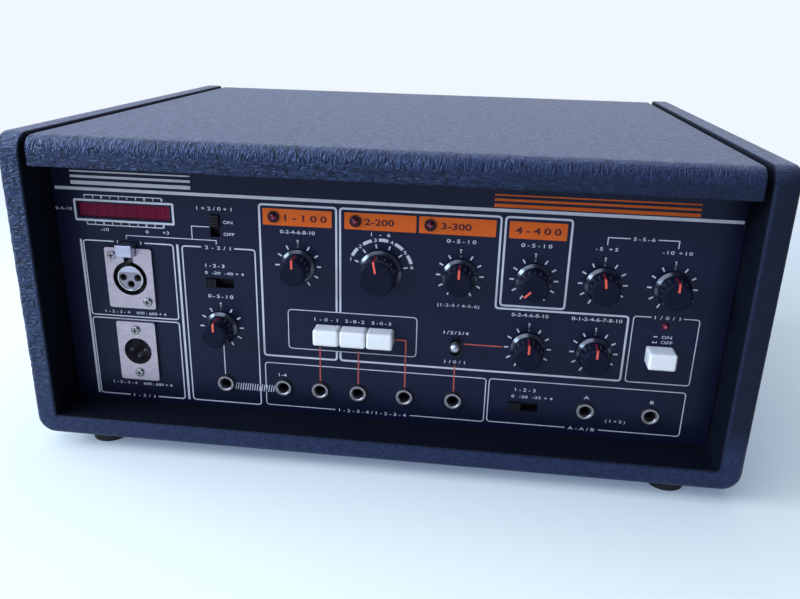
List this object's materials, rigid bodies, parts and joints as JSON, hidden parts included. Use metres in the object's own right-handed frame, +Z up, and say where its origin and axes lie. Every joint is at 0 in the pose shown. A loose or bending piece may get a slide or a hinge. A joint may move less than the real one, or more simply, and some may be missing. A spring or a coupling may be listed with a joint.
{
  "type": "tape echo unit",
  "caption": "Tape echo unit: vinyl-covered cabinet with a recessed panel of knobs, switches and sockets, a lifting lid and a tape deck inside.",
  "frame": {"origin": "on the standing surface, under the middle of the cabinet", "axes": "+X to the right as seen from the front, +Y to the back, +Z up"},
  "size_m": [0.43, 0.336, 0.198],
  "materials": {
    "black_vinyl": "plywood board under a black crinkled vinyl covering",
    "foot_rubber": "moulded",
    "bright_metal": "nickel plated",
    "panel_black": "satin black enamel",
    "zinc_steel": "zinc plated",
    "deck_black": "satin",
    "knob_black": "moulded, with an orange-red line",
    "button_white": "moulded",
    "black_plastic": "moulded",
    "grey_insert": "moulded",
    "red_lens": "tinted clear",
    "connector_metal": "satin nickel",
    "contact_brass": "spring brass and laminate",
    "clear_acrylic": "clear acrylic sheet",
    "tape_brown": "oxide tape",
    "bronze": "sintered",
    "drive_rubber": "ground",
    "board_green": "glass-epoxy board with components"
  },
  "bodies": {
    "root": {"left_cheek": "black_vinyl", "right_cheek": "black_vinyl", "bottom_board": "black_vinyl", "back_board": "black_vinyl", "feet": "foot_rubber", "pan_head_screws": "bright_metal", "front_panel": "panel_black", "chassis_tray": "zinc_steel", "deck_plate": "deck_black", "potentiometers": "zinc_steel", "rotary_switch": "zinc_steel", "push_switches": "zinc_steel", "slide_switches": "zinc_steel", "toggle_switch": "black_plastic", "lamp_bezels": "black_plastic", "lamp_lenses": "red_lens", "meter_lens": "red_lens", "input_connector_shell": "connector_metal", "input_connector_insert": "grey_insert", "output_connector_shell": "connector_metal", "output_connector_insert": "black_plastic", "jack_bushings": "bright_metal", "jack_contacts": "contact_brass", "tape_chamber_walls": "black_plastic", "tape_chamber_cover": "clear_acrylic", "tape_loop": "tape_brown", "tape_guides": "bright_metal", "tape_heads": "bright_metal", "capstan_bearing": "bronze", "drive_motor": "zinc_steel", "drive_belt": "drive_rubber", "circuit_boards": "board_green", "power_transformer": "zinc_steel", "reverb_tank": "zinc_steel", "cord_gland": "black_plastic", "cabinet_hinge_leaves": "zinc_steel"},
    "input_volume_knob": {"input_volume_knob": "knob_black"},
    "chorus_intensity_knob": {"chorus_intensity_knob": "knob_black"},
    "echo_volume_knob": {"echo_volume_knob": "knob_black"},
    "reverb_volume_knob": {"reverb_volume_knob": "knob_black"},
    "bass_knob": {"bass_knob": "knob_black"},
    "treble_knob": {"treble_knob": "knob_black"},
    "echo_intensity_knob": {"echo_intensity_knob": "knob_black"},
    "repeat_rate_knob": {"repeat_rate_knob": "knob_black"},
    "mode_knob": {"mode_knob": "knob_black"},
    "left_effect_button": {"left_effect_button": "button_white"},
    "middle_effect_button": {"middle_effect_button": "button_white"},
    "right_effect_button": {"right_effect_button": "button_white"},
    "power_button": {"power_button": "button_white"},
    "toggle_lever": {"toggle_lever": "bright_metal"},
    "direct_slider": {"direct_slider": "black_plastic"},
    "input_level_slider": {"input_level_slider": "black_plastic"},
    "output_level_slider": {"output_level_slider": "black_plastic"},
    "input_latch": {"input_latch": "bright_metal"},
    "capstan": {"capstan": "zinc_steel"},
    "motor_pulley": {"motor_pulley": "bronze"},
    "pinch_arm": {"pinch_arm": "zinc_steel"},
    "pinch_roller": {"pinch_roller": "drive_rubber"},
    "lid": {"lid": "black_vinyl", "lid_hinge_leaves": "zinc_steel"}
  },
  "joints": [
    {"name": "input_volume_turn", "type": "hinge", "parent": "root", "child": "input_volume_knob", "pos_m": [-0.1003, -0.1394, 0.079], "axis": [0, 1, 0], "range_deg": [-150, 150]},
    {"name": "chorus_intensity_turn", "type": "hinge", "parent": "root", "child": "chorus_intensity_knob", "pos_m": [-0.0507, -0.1394, 0.1221], "axis": [0, 1, 0], "range_deg": [-150, 150]},
    {"name": "echo_volume_turn", "type": "hinge", "parent": "root", "child": "echo_volume_knob", "pos_m": [0.0461, -0.1394, 0.1221], "axis": [0, 1, 0], "range_deg": [-150, 150]},
    {"name": "reverb_volume_turn", "type": "hinge", "parent": "root", "child": "reverb_volume_knob", "pos_m": [0.089, -0.1394, 0.1221], "axis": [0, 1, 0], "range_deg": [-15, 285]},
    {"name": "bass_turn", "type": "hinge", "parent": "root", "child": "bass_knob", "pos_m": [0.1282, -0.1394, 0.1221], "axis": [0, 1, 0], "range_deg": [-150, 150]},
    {"name": "treble_turn", "type": "hinge", "parent": "root", "child": "treble_knob", "pos_m": [0.167, -0.1394, 0.1221], "axis": [0, 1, 0], "range_deg": [-150, 150]},
    {"name": "echo_intensity_turn", "type": "hinge", "parent": "root", "child": "echo_intensity_knob", "pos_m": [0.0888, -0.1394, 0.079], "axis": [0, 1, 0], "range_deg": [-150, 150]},
    {"name": "repeat_rate_turn", "type": "hinge", "parent": "root", "child": "repeat_rate_knob", "pos_m": [0.1276, -0.1394, 0.079], "axis": [0, 1, 0], "range_deg": [-150, 150]},
    {"name": "mode_turn", "type": "hinge", "parent": "root", "child": "mode_knob", "pos_m": [-0.0009, -0.1394, 0.1221], "axis": [0, 1, 0], "range_deg": [-60, 90]},
    {"name": "left_effect_press", "type": "slide", "parent": "root", "child": "left_effect_button", "axis": [0, 1, 0], "range_m": [0, 0.0035], "stiffness_N_per_m": 150, "springref_m": -0.004},
    {"name": "middle_effect_press", "type": "slide", "parent": "root", "child": "middle_effect_button", "axis": [0, 1, 0], "range_m": [0, 0.0035], "stiffness_N_per_m": 150, "springref_m": -0.004},
    {"name": "right_effect_press", "type": "slide", "parent": "root", "child": "right_effect_button", "axis": [0, 1, 0], "range_m": [0, 0.0035], "stiffness_N_per_m": 150, "springref_m": -0.004},
    {"name": "power_press", "type": "slide", "parent": "root", "child": "power_button", "axis": [0, 1, 0], "range_m": [0, 0.0035], "stiffness_N_per_m": 150, "springref_m": -0.004},
    {"name": "latch_press", "type": "slide", "parent": "root", "child": "input_latch", "axis": [0, 1, 0], "range_m": [0, 0.002], "stiffness_N_per_m": 200, "springref_m": -0.003},
    {"name": "direct_slide", "type": "slide", "parent": "root", "child": "direct_slider", "axis": [0, 0, 1], "range_m": [-0.0064, 0]},
    {"name": "input_level_slide", "type": "slide", "parent": "root", "child": "input_level_slider", "axis": [1, 0, 0], "range_m": [0, 0.0104]},
    {"name": "output_level_slide", "type": "slide", "parent": "root", "child": "output_level_slider", "axis": [1, 0, 0], "range_m": [0, 0.0104]},
    {"name": "toggle_flip", "type": "hinge", "parent": "root", "child": "toggle_lever", "pos_m": [0.0458, -0.1336, 0.0764], "axis": [1, 0, 0], "range_deg": [0, 26]},
    {"name": "lid_lift", "type": "hinge", "parent": "root", "child": "lid", "pos_m": [0, 0.1613, 0.184], "axis": [-1, 0, 0], "range_deg": [0, 100]},
    {"name": "capstan_spin", "type": "hinge", "parent": "root", "child": "capstan", "pos_m": [0.072, -0.0586, 0.14], "axis": [0, 0, 1], "continuous": true},
    {"name": "motor_spin", "type": "hinge", "parent": "root", "child": "motor_pulley", "pos_m": [0.15, -0.04, 0.1], "axis": [0, 0, 1], "continuous": true},
    {"name": "pinch_arm_swing", "type": "hinge", "parent": "root", "child": "pinch_arm", "pos_m": [0.105, -0.08, 0.15], "axis": [0, 0, 1], "range_deg": [0, 15], "stiffness_Nm_per_rad": 0.05, "springref_deg": -5.73},
    {"name": "pinch_roller_spin", "type": "hinge", "parent": "pinch_arm", "child": "pinch_roller", "pos_m": [0.072, -0.0714, 0.15], "axis": [0, 0, 1], "continuous": true}
  ],
  "couplings": [
    {"joint": "motor_spin", "follows": "capstan_spin", "ratio": 5.4286},
    {"joint": "pinch_roller_spin", "follows": "capstan_spin", "ratio": -0.33333}
  ]
}
